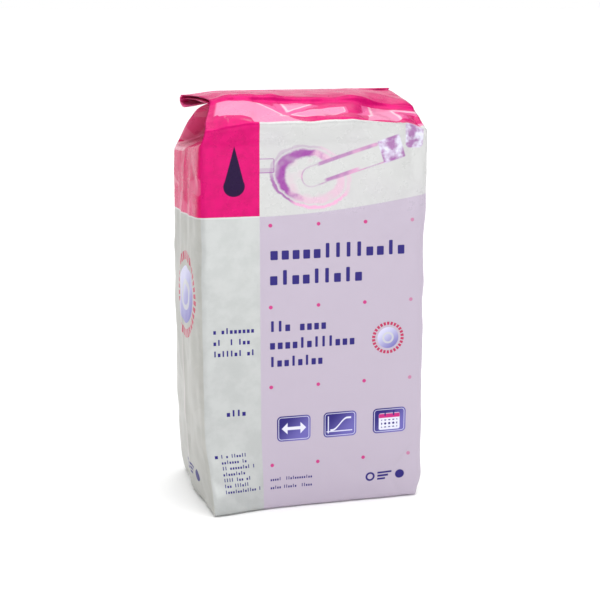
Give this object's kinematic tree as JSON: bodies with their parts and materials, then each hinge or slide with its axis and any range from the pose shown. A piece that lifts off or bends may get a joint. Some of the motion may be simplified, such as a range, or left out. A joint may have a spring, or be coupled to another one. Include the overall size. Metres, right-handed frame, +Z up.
{
  "type": "impression powder bag",
  "caption": "Filled side-gusset foil bag of dental impression powder, block bottom, printed front, top folded over and sealed.",
  "frame": {"origin": "middle of the base, on the surface that the bag stands on", "axes": "+Z up, -Y out of the printed front panel, +X to the right when facing the front panel"},
  "size_m": [0.1012, 0.071, 0.1854],
  "materials": {
    "printed_film": "glossy printed laminate",
    "magenta_film": "glossy printed metallised laminate",
    "silver_film": "satin metallised laminate",
    "sealed_film": "heat-sealed, finely ribbed laminate",
    "powder": "fine dull powder"
  },
  "bodies": {
    "bag": {"powder_fill": "powder", "front_panel": "printed_film", "back_panel": "silver_film", "back_seam_fin": "silver_film", "left_gusset_front": "silver_film", "left_gusset_rear": "silver_film", "right_gusset_front": "silver_film", "right_gusset_rear": "silver_film", "front_shoulder": "magenta_film", "rear_shoulder": "magenta_film", "left_gable_tuck": "magenta_film", "right_gable_tuck": "magenta_film", "left_front_tuck": "magenta_film", "right_front_tuck": "magenta_film", "left_rear_tuck": "magenta_film", "right_rear_tuck": "magenta_film", "bottom_front_fold": "silver_film", "bottom_rear_fold": "silver_film", "bottom_seal_fin": "silver_film", "bottom_left_tuck": "silver_film", "bottom_right_tuck": "silver_film"},
    "flap": {"flap_front_film": "magenta_film", "flap_rear_film": "magenta_film", "flap_left_tuck": "magenta_film", "flap_right_tuck": "magenta_film"},
    "seal_strip": {"top_seal_strip": "sealed_film"}
  },
  "joints": [
    {"name": "flap_fold", "type": "hinge", "parent": "bag", "child": "flap", "pos_m": [0, -0.018, 0.1845], "axis": [1, 0, 0], "range_deg": [0, 100]},
    {"name": "strip_fold", "type": "hinge", "parent": "flap", "child": "seal_strip", "pos_m": [0, 0.0156, 0.1831], "axis": [1, 0, 0], "range_deg": [0, 160]}
  ]
}
